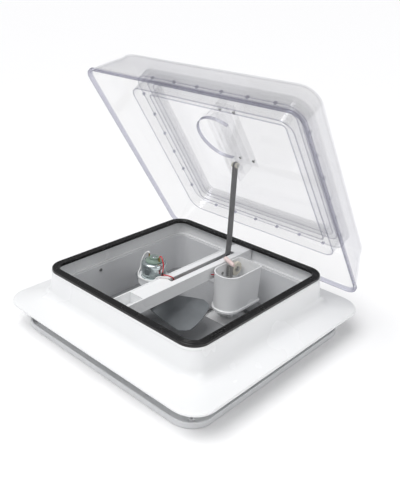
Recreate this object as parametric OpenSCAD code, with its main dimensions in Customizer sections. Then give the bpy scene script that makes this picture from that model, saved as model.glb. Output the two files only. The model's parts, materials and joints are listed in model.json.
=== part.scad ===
// Powered roof vent for an rv or caravan: white moulded base, black rim gasket, clear domed lid
// on a rear hinge, crank-driven lift arm, 12 V fan on a crossbar, insect screen and ceiling garnish.
// Frame: origin at the centre of the opening, on the garnish's lower face; +X along the lid hinge,
// +Y towards the hinge, +Z up. The lid is drawn open.

/* [Opening and collar] */
// Outer side of the square rim gasket
gasket_w = 355; // [340:1:430]
// Corner radius of the gasket's outer edge
gasket_r = 31; // [24:1:40]
// Width of the gasket band
gasket_band = 13.3; // [10:0.1:16]
// Height of the gasket
gasket_h = 5.8; // [4:0.1:8]
// Height of the collar's top edge above the garnish face
collar_top = 111; // [106:1:134]
// Wall of the base moulding
base_wall = 3.4; // [2.5:0.1:4]
// How far the neck stands in from the gasket's outer edge
neck_in = 6.5; // [5:0.5:9]

/* [Flange] */
// How far the roof flange reaches out from the gasket
flange_out = 54.5; // [52:0.5:80]
// Corner radius of the flange
flange_r = 42; // [36:1:60]
// Height of the flange's lower face, which rests on the roof
roof_z = 47; // [42:1:50]

/* [Garnish and screen] */
// How far the ceiling garnish reaches out from the gasket
garnish_out = 33; // [32:0.5:60]
// Corner radius of the garnish
garnish_r = 42; // [36:1:60]
// Height of the garnish's turned-up edge
garnish_h = 12; // [8:0.5:14]
// Distance of the corner screw holes from the garnish's sides
screw_inset = 20; // [18:0.5:24]
// Radius of the garnish's screw holes
screw_hole_r = 2.25; // [2:0.05:2.5]

/* [Lid] */
// How far the lid's rim reaches out from the gasket
lid_out = 47.5; // [40:0.5:52]
// Height of the lid's dome above its rim
lid_h = 80; // [76:1:96]
// Wall of the lid
lid_wall = 2.6; // [2:0.1:3]

/* [Fan] */
// Radius swept by the fan blades
fan_r = 106; // [85:1:107]
// Number of fan blades
blade_n = 3; // [3:1:5]
// Radius of the motor can
motor_r = 22.5; // [19:0.5:27]
// Height of the motor can
motor_h = 38; // [30:1:42]

/* [Crossbar and operator] */
// Width of the crossbar
bar_w = 36; // [32:1:40]
// Height of the crossbar
bar_h = 24; // [23:0.1:29]
// Width of the lift arm's strap
arm_w = 13; // [11:0.5:14]
// Teeth on the arm's gear
gear_n = 20; // [16:1:24]

/* [Hidden] */
$fn = 48;

fit = 0.05;        // radial clearance of a running fit
gap = 0.3;         // clearance between neighbours that move or meet
corner_n = 8;      // facets of a lofted corner

// Main heights and half sizes
gasket_half = gasket_w / 2;
flange_half = gasket_half + flange_out;
neck_half = gasket_half - neck_in;
garnish_half = gasket_half + garnish_out;
screw_span = 2 * (garnish_half - screw_inset);
gasket_top = collar_top + gasket_h;
ledge_z = collar_top - bar_h - 1;
ledge_half = neck_half - base_wall + 0.4;
plate_t = 2.5;
sleeve_half = ledge_half - 2;
sleeve_wall = 2.5;
sleeve_r = 20;
sleeve_top = ledge_z - 3;

// Lid and hinge
hinge_y = flange_half - 26;
hinge_z = collar_top - 26;
hinge_x = 120;
pin_r = 2.5;
lid_half = gasket_half + lid_out;
lid_back = 11;                                 // rim edge behind the hinge axis
lid_y = hinge_y + lid_back - lid_half;
lid_open = 55;                                 // the lid is drawn fully open
skin_z = hinge_z + lid_h - 3;                  // flat inner face of the dome
seal_half = gasket_half - gasket_band / 2;
inner_half = gasket_half - 31.5;

// Lift arm's pivot; what stands on the crossbar is placed from it
pivot_y = hinge_y - 96;

// Crossbar
bar_top = collar_top - 1;
bar_z = bar_top - bar_h;
bar_wall = 2.5;
bar_half = bar_w / 2;
bar_end = ledge_half + 2.2;
slot_half = 5;
slot_front = pivot_y - 152;
slot_back = pivot_y + 24;

// Fan motor, standing in the crossbar's cradle
motor_x = -bar_half - motor_r - 4.5;
motor_y = pivot_y - 146;
cradle_r = motor_r + 5;
cradle_z = bar_z + 2;
cradle_h = 12;
motor_z = cradle_z + 3;
fan_shaft_r = 2;
fan_z = bar_z - 38;
hub_r = 16;
blade_pitch = 17;
blade_turn = 10;                                // where the first blade stands, degrees from +X

// Lift arm, gear and worm
pivot_z = bar_z + 6;
arm_t = 3;
arm_shaft_r = 3;
arm_lean = 10;                                 // how far the arm's tip leans towards the hinge
pin_rise = 44.7;                               // pin's line above the hinge axis, lid closed
pin_z = hinge_z + pin_rise;
// The open lid's track crosses the arm's tip at this height
arm_tip_y = pivot_y + arm_lean;
arm_tip = [arm_tip_y, hinge_z + (hinge_y - arm_tip_y) * tan(lid_open) + pin_rise / cos(lid_open)];
roller_r = 5;
worm_mean = 4.6;
tooth = 1;
mesh_gap = 0.5;
gear_mean = 12.9;
worm_pitch = 360 / gear_n * PI / 180 * (gear_mean + mesh_gap / 2);
gear_x = bar_half + 10.5;
gear_t = 5;
worm_y = pivot_y - gear_mean - mesh_gap - worm_mean;
worm_h = 22;

// Operator housing
cup_x = bar_half + 0.2;
cup_w = 56;
cup_front = pivot_y - 72;
cup_back = pivot_y + 22;
cup_z = bar_z - 52;
cup_top = bar_top - 3;
cup_wall = 2.5;
housing_screw_y = [pivot_y - 32, pivot_y + 14];
lead_way_y = cup_front + 10;                   // where the leads pass from the crossbar to the housing
knob_z = 6;
knob_h = 16;
knob_r = 22;
switch_x = cup_x + cup_w / 2 + 6;
switch_y = cup_front + 22;
rocker_tilt = 8;

white = "white";
clear = [0.86, 0.87, 0.92, 0.4];
steel = "silver";
zinc = [0.72, 0.76, 0.76];
dark = [0.36, 0.36, 0.37];
black = [0.07, 0.07, 0.07];
smoke = [0.62, 0.63, 0.64, 0.7];

// ---- general shapes -------------------------------------------------------------------------

// Points of a rounded square of the given half side and corner radius, at height z
function square_ring(half, r, z) = [
    for (k = [0:3], j = [0:corner_n])
        let (a = 90 * (k + j / corner_n), c = half - r)
        [c * sign(cos(90 * k + 45)) + r * cos(a), c * sign(sin(90 * k + 45)) + r * sin(a), z]
];

// A surface through rounded squares [half, radius, z]: a closed ring, or a shell with two flat ends
module loft(sections, ring = true) {
    m = 4 * (corner_n + 1);
    n = len(sections);
    last = ring ? n - 1 : n - 2;
    sides = [
        for (i = [0:last], j = [0:m - 1])
            let (a = i * m + j, b = i * m + (j + 1) % m,
                 c = ((i + 1) % n) * m + (j + 1) % m, d = ((i + 1) % n) * m + j)
            each [[a, b, c], [a, c, d]]
    ];
    ends = ring ? [] : [
        [for (j = [m - 1:-1:0]) j],
        [for (j = [0:m - 1]) (n - 1) * m + j]
    ];
    polyhedron([for (s = sections) each square_ring(s[0], s[1], s[2])], concat(sides, ends));
}

// A 2D profile carried round a rounded square; its x runs outwards from the square's side
module sweep_square(half, r) {
    straight = half - r;
    for (a = [0:90:270])
        rotate(a) {
            translate([half, straight, 0]) rotate([90, 0, 0]) linear_extrude(2 * straight) children();
            translate([straight, straight, 0]) rotate_extrude(angle = 90) translate([r, 0]) children();
        }
}

module rounded_square(half, r) {
    square([2 * half, 2 * (half - r)], center = true);
    square([2 * (half - r), 2 * half], center = true);
    for (x = [-1, 1], y = [-1, 1])
        translate([x * (half - r), y * (half - r)]) circle(r);
}

// Cylinder along X, centred on x
module rod_x(r, length, x = 0) {
    translate([x - length / 2, 0, 0]) rotate([0, 90, 0]) cylinder(r = r, h = length);
}

// Pan-head screw, head upwards, tip at the origin
module pan_screw(r, length, head_r, head_h) {
    difference() {
        union() {
            cylinder(r = r, h = length);
            translate([0, 0, length]) cylinder(r = head_r, h = head_h);
        }
        for (a = [0, 90])
            rotate(a)
                translate([-head_r * 0.55, -0.4, length + head_h / 2]) cube([head_r * 1.1, 0.8, head_h]);
    }
}

// Tube of radius r swept along points
function unit(v) = v / norm(v);
function tangent(p, i) = unit(p[min(i + 1, len(p) - 1)] - p[max(i - 1, 0)]);
function side_of(t, guide) = unit(cross(t, guide));
module wire(p, r, guide) {
    m = 8;
    n = len(p);
    points = [
        for (i = [0:n - 1], k = [0:m - 1])
            let (t = tangent(p, i), u = side_of(t, guide), v = cross(t, u))
            p[i] + r * (cos(360 * k / m) * u + sin(360 * k / m) * v)
    ];
    sides = [
        for (i = [0:n - 2], k = [0:m - 1])
            let (a = i * m + k, b = i * m + (k + 1) % m)
            each [[a, a + m, b], [b, a + m, b + m]]
    ];
    ends = [[for (k = [0:m - 1]) k], [for (k = [m - 1:-1:0]) (n - 1) * m + k]];
    polyhedron(points, concat(sides, ends));
}

// Smooth curve through hand-chosen points (Catmull-Rom, steps per span)
function spline_point(a, b, c, d, t) =
    0.5 * (2 * b + t * (c - a) + t * t * (2 * a - 5 * b + 4 * c - d)
           + t * t * t * (3 * b - a - 3 * c + d));
function spline(p, steps) = [
    for (i = [0:len(p) - 2], s = [0:(i == len(p) - 2 ? steps : steps - 1)])
        spline_point(p[max(i - 1, 0)], p[i], p[i + 1], p[min(i + 2, len(p) - 1)], s / steps)
];

// Turns lid pieces, drawn closed, to the open position
module opened() {
    translate([0, hinge_y, hinge_z]) rotate([-lid_open, 0, 0]) translate([0, -hinge_y, -hinge_z])
        children();
}

// ---- base -----------------------------------------------------------------------------------

flare_r = 18;                                   // curve between the collar and the flange
flare_x = gasket_half + 3.5;
flare_z = roof_z + 30;
foot_half = flange_half - 30;                   // inner edge of the flange's flat foot
flare_turn = 12;                                // slope of the flange's upper face, degrees

function flare(radius, from, to, steps) = [
    for (i = [0:steps])
        let (a = from + (to - from) * i / steps)
        [flare_x + flare_r + radius * cos(a), flare_z + radius * sin(a)]
];
function flare_radius(x) =
    gasket_r + (flange_r - gasket_r) * (x - gasket_half) / (flange_half - gasket_half);

module hinge_ear(x) {
    translate([x - 2.5, hinge_y - 7.5, roof_z + 7]) cube([5, 8.5, hinge_z - roof_z - 7]);
    translate([0, hinge_y, hinge_z]) rod_x(7, 5, x);
}

module base_frame() {
    outer = flare(flare_r, 180, 270 - flare_turn, 7);
    inner = flare(flare_r + base_wall, 270 - flare_turn, 205, 6);
    color(white)
        difference() {
            union() {
                loft(concat(
                    [[gasket_half, gasket_r, collar_top],
                     [gasket_half + 1.2, gasket_r + 1, collar_top - 1],
                     [gasket_half + 1.2, gasket_r + 1, collar_top - 3.4],
                     [gasket_half + 0.6, gasket_r + 1, collar_top - 4.4]],
                    [for (p = outer) [p[0], flare_radius(p[0]), p[1]]],
                    [[flange_half - 4, flange_r - 3, roof_z + 5.4],
                     [flange_half - 1.2, flange_r - 1, roof_z + 4],
                     [flange_half, flange_r, roof_z + 1.6],
                     [flange_half, flange_r, roof_z],
                     [foot_half, flange_r - 12, roof_z],
                     [foot_half, flange_r - 12, roof_z + 4.6]],
                    [for (p = inner) [p[0], flare_radius(p[0]), p[1]]],
                    [[neck_half, 24, flare_z - 12],
                     [neck_half, 24, garnish_h + 2],
                     [neck_half - base_wall, 21, garnish_h + 2],
                     [neck_half - base_wall, 21, ledge_z - 2],
                     [ledge_half, 21, ledge_z],
                     [gasket_half - base_wall - 2.4, 24, ledge_z],
                     [gasket_half - base_wall, 27, collar_top]]));
                for (s = [-1, 1], e = [-14.8, 14.8])
                    hinge_ear(s * hinge_x + e);
            }
            for (s = [-1, 1])
                translate([0, hinge_y, hinge_z]) rod_x(pin_r + 0.02, 60, s * hinge_x);
            for (s = [-1, 1], x = [-8, 8])
                translate([x, s * (bar_end + 8), bar_z + bar_h / 2])
                    rotate([90, 0, 0]) cylinder(r = 1.6, h = 16, center = true);
            for (a = [0:90:270])
                rotate(a)
                    translate([neck_half - base_wall - 1, 60, sleeve_top - 9])
                        rotate([0, 90, 0]) cylinder(r = 1.7, h = base_wall + 2);
        }
}

module rim_gasket() {
    w = gasket_band;
    color(black)
        translate([0, 0, collar_top])
            sweep_square(gasket_half, gasket_r)
                difference() {
                    union() {
                        translate([-w, 0]) square([w, gasket_h - 1.6]);
                        translate([-w + 1.6, 0]) square([w - 3.2, gasket_h]);
                        translate([-w + 1.6, gasket_h - 1.6]) circle(1.6);
                        translate([-1.6, gasket_h - 1.6]) circle(1.6);
                    }
                    for (x = [-w * 0.36, -w * 0.66])
                        translate([x, gasket_h]) circle(0.9);
                }
}

// ---- garnish and screen ---------------------------------------------------------------------

lip_half = sleeve_half - sleeve_wall - 6;
module garnish() {
    e = plate_t;
    color(white)
        difference() {
            union() {
                loft([[garnish_half, garnish_r, 0],
                      [garnish_half, garnish_r, garnish_h],
                      [garnish_half - e, garnish_r - e, garnish_h],
                      [garnish_half - e, garnish_r - e, e],
                      [sleeve_half, sleeve_r, e],
                      [sleeve_half, sleeve_r, sleeve_top],
                      [sleeve_half - sleeve_wall, sleeve_r - sleeve_wall, sleeve_top],
                      [sleeve_half - sleeve_wall, sleeve_r - sleeve_wall, e],
                      [lip_half, sleeve_r - 8, e],
                      [lip_half, sleeve_r - 8, 0]]);
                for (x = [-1, 1], y = [-1, 1])
                    translate([x * screw_span / 2, y * screw_span / 2, e - 0.5])
                        cylinder(r = 5, h = garnish_h - e);
            }
            for (x = [-1, 1], y = [-1, 1])
                translate([x * screw_span / 2, y * screw_span / 2, -1])
                    cylinder(r = screw_hole_r, h = garnish_h + 2);
            for (a = [0:90:270])
                rotate(a)
                    translate([sleeve_half - sleeve_wall - 1, 60, sleeve_top - 9])
                        rotate([0, 90, 0]) cylinder(r = 1.7, h = 6);
        }
}

// Screws through the garnish sleeve into the neck
module garnish_screws() {
    color(steel)
        for (a = [0:90:270])
            rotate(a)
                translate([neck_half, 60, sleeve_top - 9])
                    rotate([0, -90, 0]) pan_screw(1.6, neck_half - sleeve_half + sleeve_wall + 0.1, 3.2, 1.8);
}

screen_half = sleeve_half - sleeve_wall - 0.6;
frame_w = 12;
screen_z = plate_t + 0.2;
well_x = [gear_x - 28, gear_x + 42];
well_y = [worm_y - 46, worm_y + 30];
module well(grow = 0) {
    translate([well_x[0] - grow, well_y[0] - grow])
        square([well_x[1] - well_x[0] + 2 * grow, well_y[1] - well_y[0] + 2 * grow]);
}

module screen_frame() {
    color(white)
        translate([0, 0, screen_z])
            linear_extrude(4)
                difference() {
                    union() {
                        difference() {
                            rounded_square(screen_half, sleeve_r - 4);
                            rounded_square(screen_half - frame_w, 6);
                        }
                        well(4);
                        translate([-screen_half + 6, well_y[1] - 4]) square([2 * screen_half - 12, 7]);
                    }
                    well();
                }
}

module insect_screen() {
    color([0.55, 0.55, 0.56])
        translate([0, 0, screen_z + 4.1])
            linear_extrude(0.8)
                difference() {
                    square(2 * (screen_half - frame_w) + 8, center = true);
                    well(0);
                }
}

// ---- crossbar -------------------------------------------------------------------------------

module crossbar() {
    w = bar_wall;
    pocket = 46;
    color(white)
        difference() {
            union() {
                translate([-bar_half, -bar_end, bar_z]) cube([bar_w, 2 * bar_end, bar_h]);
                translate([motor_x, motor_y, cradle_z]) cylinder(r = cradle_r, h = cradle_h);
            }
            // hollow from below, with an end wall and a floor under the front pocket
            translate([-bar_half + w, -bar_end + pocket + 2 * w, bar_z - 1])
                cube([bar_w - 2 * w, 2 * bar_end - pocket - 3 * w, bar_h - w + 1]);
            translate([-bar_half + w, -bar_end + w, bar_z + 3]) cube([bar_w - 2 * w, pocket, bar_h]);
            // shallow trough along the top, and the slot that the arm folds into
            translate([-bar_half + 2, -bar_end + pocket + 2 * w, bar_top - 1])
                cube([bar_w - 4, 2 * bar_end - pocket - 4 * w, 2]);
            translate([-slot_half, slot_front, bar_z + 5]) cube([2 * slot_half, slot_back - slot_front, bar_h]);
            // cradle seat, shaft hole and motor screw holes
            translate([motor_x, motor_y, motor_z]) cylinder(r = motor_r + gap, h = bar_h);
            translate([motor_x, motor_y, cradle_z - 1]) cylinder(r = 7, h = bar_h);
            for (s = [-1, 1])
                translate([motor_x, motor_y + s * 13, cradle_z - 1]) cylinder(r = 1.7, h = bar_h);
            // bores for the arm's shaft
            translate([0, pivot_y, pivot_z]) rod_x(arm_shaft_r + fit, bar_w + 2);
            // holes for the housing screws, and the leads' way out to the housing
            for (y = housing_screw_y)
                translate([bar_half, y, bar_z + 4]) rod_x(1.6, 3 * w);
            translate([bar_half - w - 1, lead_way_y, bar_z + 4]) cube([w + 2, 10, 8]);
            for (s = [-1, 1], x = [-8, 8])
                translate([x, s * bar_end, bar_z + bar_h / 2])
                    rotate([90, 0, 0]) cylinder(r = 1.7, h = 12, center = true);
        }
}

module crossbar_screws() {
    color(steel)
        for (s = [-1, 1], x = [-8, 8])
            translate([x, s * (bar_end + 2.3), bar_z + bar_h / 2])
                rotate([s * 90, 0, 0]) pan_screw(1.5, 5.2, 3, 1.6);
}

// ---- fan motor ------------------------------------------------------------------------------

can_top = motor_z + motor_h;
module motor_can() {
    color(zinc)
        translate([motor_x, motor_y, motor_z])
            difference() {
                union() {
                    rotate_extrude()
                        polygon([[0, 0], [motor_r - 1.5, 0], [motor_r, 1.5], [motor_r, motor_h - 4],
                                 [motor_r - 0.6, motor_h - 1.6], [motor_r - 2, motor_h - 0.4],
                                 [motor_r - 3.5, motor_h], [0, motor_h]]);
                    translate([0, 0, -2.6]) cylinder(r = 6.5, h = 3);
                }
                translate([0, 0, -4]) cylinder(r = fan_shaft_r + fit, h = motor_h - 4);
                for (s = [-1, 1])
                    translate([0, s * 13, -1]) cylinder(r = 1.4, h = 7);
            }
}

module motor_end_cap() {
    color([0.45, 0.52, 0.47])
        translate([motor_x, motor_y, can_top])
            rotate_extrude()
                polygon([[5.2, 0], [15, 0], [15, 1.6], [11, 2.4], [9, 4.5], [9, 7.5], [5.2, 7.5]]);
}

module motor_bushing() {
    color(zinc)
        translate([motor_x, motor_y, can_top])
            rotate_extrude()
                polygon([[0, 0], [5, 0], [5, 7.6], [4, 9], [0, 9]]);
}

module motor_terminals() {
    color("goldenrod")
        for (s = [-1, 1])
            translate([motor_x + s * 12.4 - 1.5, motor_y - 0.4, can_top + 2.5]) cube([3, 0.8, 7]);
}

module motor_screws() {
    color(steel)
        for (s = [-1, 1])
            translate([motor_x, motor_y + s * 13, motor_z + 5])
                rotate([180, 0, 0]) pan_screw(1.4, motor_z + 5 - cradle_z + gap, 3, 1.6);
}

module fan_shaft() {
    color(steel)
        translate([motor_x, motor_y, fan_z - 12]) cylinder(r = fan_shaft_r, h = motor_z + 12 - fan_z + 24);
}

blade_root = 15;
blade_tip = 44;
module blade() {
    r = 9;
    linear_extrude(1.8, center = true)
        difference() {
            hull() {
                translate([hub_r - 4, -blade_root]) square([1, 2 * blade_root]);
                for (s = [-1, 1])
                    translate([fan_r - r - 5, s * (blade_tip - r)]) circle(r);
            }
            difference() {
                translate([fan_r - 14, -fan_r]) square([20, 2 * fan_r]);
                circle(fan_r, $fn = 120);
            }
        }
}
module fan() {
    color(smoke)
        translate([motor_x, motor_y, fan_z])
            difference() {
                union() {
                    translate([0, 0, -9]) cylinder(r = hub_r, h = 18);
                    for (i = [0:blade_n - 1])
                        rotate(360 * i / blade_n + blade_turn) rotate([blade_pitch, 0, 0]) blade();
                }
                translate([0, 0, -12]) cylinder(r = fan_shaft_r + 0.02, h = 30);
                translate([0, 0, -10]) cylinder(r = hub_r - 3, h = 7);
            }
}

module fan_clip() {
    color(steel)
        translate([motor_x, motor_y, fan_z - 4.4])
            difference() {
                cylinder(r = 6, h = 1.2);
                translate([0, 0, -1]) cylinder(r = fan_shaft_r + 0.02, h = 4);
            }
}

// ---- operator: housing, crank, worm, gear and lift arm --------------------------------------

module cup_outline(inset) {
    r = cup_w / 2 - inset;
    hull() {
        translate([cup_x + cup_w / 2, cup_front + cup_w / 2]) circle(r);
        translate([cup_x + inset, cup_back - 12 - inset]) square([2 * r, 12]);
    }
}

module operator_housing() {
    color(white)
        difference() {
            translate([0, 0, cup_z]) linear_extrude(cup_top - cup_z) cup_outline(0);
            translate([0, 0, cup_z + cup_wall]) linear_extrude(cup_top) cup_outline(cup_wall);
            translate([gear_x, worm_y, cup_z - 1]) cylinder(r = 5.5, h = 9);
            translate([cup_x, pivot_y, pivot_z]) rod_x(arm_shaft_r + fit, 12);
            translate([cup_x - 1, lead_way_y, bar_z + 4]) cube([cup_wall + 12, 10, 8]);
            translate([switch_x - 9, switch_y - 6, cup_z - 1]) cube([18, 12, 6]);
            // notch in the rim, by which the housing is lifted off
            translate([cup_x + cup_w - 16, cup_back - 22, cup_top - 6]) cube([20, 14, 8]);
            for (y = housing_screw_y)
                translate([cup_x, y, bar_z + 4]) rod_x(1.6, 12);
        }
}

// Screws through the housing wall into the crossbar
module housing_screws() {
    color(steel)
        for (y = housing_screw_y)
            translate([bar_half - bar_wall, y, bar_z + 4])
                rotate([0, 90, 0]) pan_screw(1.5, bar_wall + 0.2 + cup_wall + 0.4, 2.8, 1.5);
}

module crank_bushing() {
    color("tan")
        translate([gear_x, worm_y, cup_z - 1])
            difference() {
                union() {
                    cylinder(r = 5.5 - fit / 2, h = 6);
                    translate([0, 0, 4.2]) cylinder(r = 7.5, h = 1.8);
                }
                translate([0, 0, -1]) cylinder(r = 3 + fit, h = 9);
            }
}

// Worm: an eccentric round section twisted along its length; its root faces the gear at the pivot
module worm() {
    bottom = pivot_z - worm_h / 2;
    color(steel)
        translate([gear_x, worm_y, bottom])
            difference() {
                linear_extrude(worm_h, twist = -360 * worm_h / worm_pitch,
                               slices = ceil(worm_h / worm_pitch * 12))
                    rotate(-90 - 360 * (worm_h / 2) / worm_pitch) translate([tooth, 0]) circle(worm_mean, $fn = 16);
                translate([0, 0, -1]) cylinder(r = 3.02, h = worm_h + 2);
            }
}

module crank_shaft() {
    color(steel)
        translate([gear_x, worm_y, knob_z + 5]) cylinder(r = 3, h = pivot_z + worm_h / 2 - knob_z - 4);
}

module crank_knob() {
    lobes = 6;
    color(white)
        translate([gear_x, worm_y, knob_z])
            difference() {
                cylinder(r = knob_r, h = knob_h);
                for (i = [0:lobes - 1])
                    rotate(360 * i / lobes)
                        translate([knob_r + 5, 0, -1]) cylinder(r = 9, h = knob_h + 2);
                translate([0, 0, 5]) cylinder(r = 3.02, h = knob_h);
                translate([0, 0, -1]) cylinder(r = 1.7, h = 8);
                translate([0, 0, -1]) cylinder(r = 4, h = 3);
            }
}

module knob_screw() {
    color(steel)
        translate([gear_x, worm_y, knob_z + 4.9])
            rotate([180, 0, 0]) pan_screw(1.6, 3.2, 3.2, 1.4);
}

module gear_shaft() {
    color(steel)
        translate([0, pivot_y, pivot_z])
            translate([-bar_half + 1, 0, 0]) rotate([0, 90, 0])
                cylinder(r = arm_shaft_r, h = gear_x + gear_t / 2 + 3.5 + bar_half - 1);
}

// Gear with rounded teeth; a tooth points at the worm
module arm_gear() {
    steps = 8 * gear_n;
    color([0.85, 0.85, 0.8])
        translate([gear_x - gear_t / 2, pivot_y, pivot_z])
            rotate([90, 0, 90])
                difference() {
                    linear_extrude(gear_t)
                        polygon([
                            for (i = [0:steps - 1])
                                let (a = 180 + 360 * i / steps,
                                     r = gear_mean + tooth * cos(360 * i * gear_n / steps))
                                [r * cos(a), r * sin(a)]
                        ]);
                    translate([0, 0, -1]) cylinder(r = arm_shaft_r + 0.02, h = gear_t + 2);
                }
}

module gear_clip() {
    color(steel)
        translate([gear_x + gear_t / 2 + 0.9, pivot_y, pivot_z])
            difference() {
                rod_x(5.5, 1);
                rod_x(arm_shaft_r + 0.02, 3);
            }
}

// Band of width w along a line of points, with mitred bends and round ends, the near one of radius foot
function heading(p, i) = atan2(p[i + 1][1] - p[i][1], p[i + 1][0] - p[i][0]);
function band_point(p, i, w, s) =
    let (a = heading(p, max(i - 1, 0)), b = heading(p, min(i, len(p) - 2)))
    p[i] + s * w / 2 / cos((b - a) / 2) * [-sin((a + b) / 2), cos((a + b) / 2)];
module band(p, w, foot) {
    n = len(p);
    start = heading(p, 0);
    end = heading(p, n - 2);
    polygon([
        for (i = [1:n - 2]) band_point(p, i, w, 1),
        for (a = [90:-15:-90]) p[n - 1] + w / 2 * [cos(end + a), sin(end + a)],
        for (i = [n - 2:-1:1]) band_point(p, i, w, -1),
        for (a = [-90:-15:-270]) p[0] + foot * [cos(start + a), sin(start + a)]
    ]);
}

// Flat strap, bent near its foot; drawn in the Y-Z plane
module lift_arm() {
    knee = [8.5, 20];
    bend = [arm_lean, 38];
    tip = [arm_tip[0] - pivot_y, arm_tip[1] - pivot_z];
    color(dark)
        translate([-arm_t / 2, pivot_y, pivot_z])
            rotate([90, 0, 90])
                difference() {
                    linear_extrude(arm_t) band([[0, 0], knee, bend, tip], arm_w, arm_w / 2 + 1.5);
                    translate([0, 0, -1]) cylinder(r = arm_shaft_r + 0.02, h = arm_t + 2);
                    translate([tip[0], tip[1], -1]) cylinder(r = 2.02, h = arm_t + 2);
                }
}

module arm_pin() {
    color(steel)
        translate([0, arm_tip[0], arm_tip[1]]) {
            rod_x(2, 13);
            for (s = [-1, 1])
                rod_x(3, 0.8, s * 6.1);
        }
}

module arm_rollers() {
    color([0.9, 0.9, 0.88])
        for (s = [-1, 1])
            translate([0, arm_tip[0], arm_tip[1]])
                difference() {
                    rod_x(roller_r, 3.6, s * 3.7);
                    rod_x(2 + fit, 14);
                }
}

// ---- switch, leads and connector ------------------------------------------------------------

module switch_body() {
    color(black)
        translate([switch_x, switch_y, cup_z])
            difference() {
                union() {
                    translate([-8.8, -5.8, -0.2]) cube([17.6, 11.6, 15]);
                    translate([-11, -8, -1.5]) cube([22, 16, 1.5]);
                }
                translate([-7.5, -4.5, -3]) cube([15, 9, 8]);
                translate([0, -6.5, 2]) rotate([-90, 0, 0]) cylinder(r = 1, h = 13);
            }
}

module switch_rocker() {
    color(black)
        translate([switch_x, switch_y, cup_z + 2])
            rotate([0, rocker_tilt, 0]) {
                translate([-6.4, -4.1, -4.6]) cube([12.8, 8.2, 4]);
                translate([0, -4.1, 0]) rotate([-90, 0, 0]) cylinder(r = 2, h = 8.2);
                translate([0, -5.5, 0]) rotate([-90, 0, 0]) cylinder(r = 0.95, h = 11);
            }
}

lead_r = 1.1;
can_side = motor_r + 2.5;
red_route = [
    [motor_x + 12.4, motor_y, can_top + 11], [motor_x + 15, motor_y + 2, can_top + 12.5],
    [motor_x + 20, motor_y, can_top + 9], [motor_x + can_side, motor_y - 2, can_top],
    [motor_x + can_side + 1, motor_y - 5, can_top - 18], [motor_x + can_side + 3, motor_y - 7, bar_top + 4],
    [-3, motor_y + 2, bar_top + 2], [-2, motor_y + 10, bar_top - 9], [-6, motor_y + 22, bar_z + 9],
    [-10, motor_y + 36, bar_z + 6], [-9, motor_y + 50, bar_z + 4], [0, motor_y + 64, bar_z + 3],
    [9, motor_y + 78, bar_z + 5], [bar_half - 3, motor_y + 87, bar_z + 8],
    [cup_x + 6, motor_y + 91, bar_z + 9]
];
white_route = [
    [motor_x - 12.4, motor_y, can_top + 11], [motor_x - 16, motor_y + 1, can_top + 12],
    [motor_x - 22, motor_y - 2, can_top + 6], [motor_x - can_side - 1, motor_y - 6, can_top - 8],
    [motor_x - can_side, motor_y - 9, can_top - 20], [motor_x + 3 - can_side, motor_y - 17, cradle_z + cradle_h + 3],
    [motor_x - 10, motor_y - 27, cradle_z + cradle_h + 2], [motor_x + 6, motor_y - 28, cradle_z + cradle_h + 3],
    [motor_x + 20, motor_y - 22, cradle_z + cradle_h + 4], [-bar_half - 1, motor_y - 16, bar_top + 1.6],
    [-10, motor_y - 8, bar_top + 2], [-3, motor_y - 2, bar_top - 1], [-5, motor_y + 6, bar_top - 14],
    [-11, motor_y + 22, bar_z + 5], [-12, motor_y + 36, bar_z + 3], [-10, motor_y + 52, bar_z + 1.8],
    [3, motor_y + 72, bar_z + 2.5], [bar_half - 3, motor_y + 90, bar_z + 7],
    [cup_x + 6, motor_y + 93, bar_z + 6]
];
module lead_red() {
    color("red") wire(spline(red_route, 4), lead_r, [0.3, 1, 0.2]);
}
module lead_white() {
    color(white) wire(spline(white_route, 4), lead_r, [0.3, 0.5, 1]);
}
// Black heat-shrink sleeve where the red lead enters the slot
module lead_sleeve() {
    color(black)
        wire([[motor_x + can_side + 2.7, motor_y - 6.8, bar_top + 7],
              [motor_x + can_side + 3, motor_y - 7, bar_top + 4],
              [motor_x + can_side + 5, motor_y - 6, bar_top + 2.4]], lead_r + 0.5, [0.3, 1, 0.2]);
}

connector_from = [bar_half - 2, pivot_y - 18, bar_top + 4.2];
module wire_connector() {
    color([0.95, 0.85, 0.85])
        translate(connector_from)
            rotate([0, 90, -24]) {
                cylinder(r = 4, h = 24);
                translate([0, 0, 24]) cylinder(r1 = 4, r2 = 2.6, h = 8);
            }
}

// ---- lid ------------------------------------------------------------------------------------

module hinge_pins() {
    color(steel)
        for (s = [-1, 1])
            translate([0, hinge_y, hinge_z]) {
                rod_x(pin_r, 38, s * hinge_x);
                rod_x(pin_r + 1.8, 1.6, s * (hinge_x + 18.4));
            }
}

module hinge_clips() {
    color(steel)
        for (s = [-1, 1])
            translate([0, hinge_y, hinge_z])
                difference() {
                    rod_x(pin_r + 2.2, 0.8, s * (hinge_x - 18));
                    rod_x(pin_r + 0.02, 6, s * (hinge_x - 18));
                }
}

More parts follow.
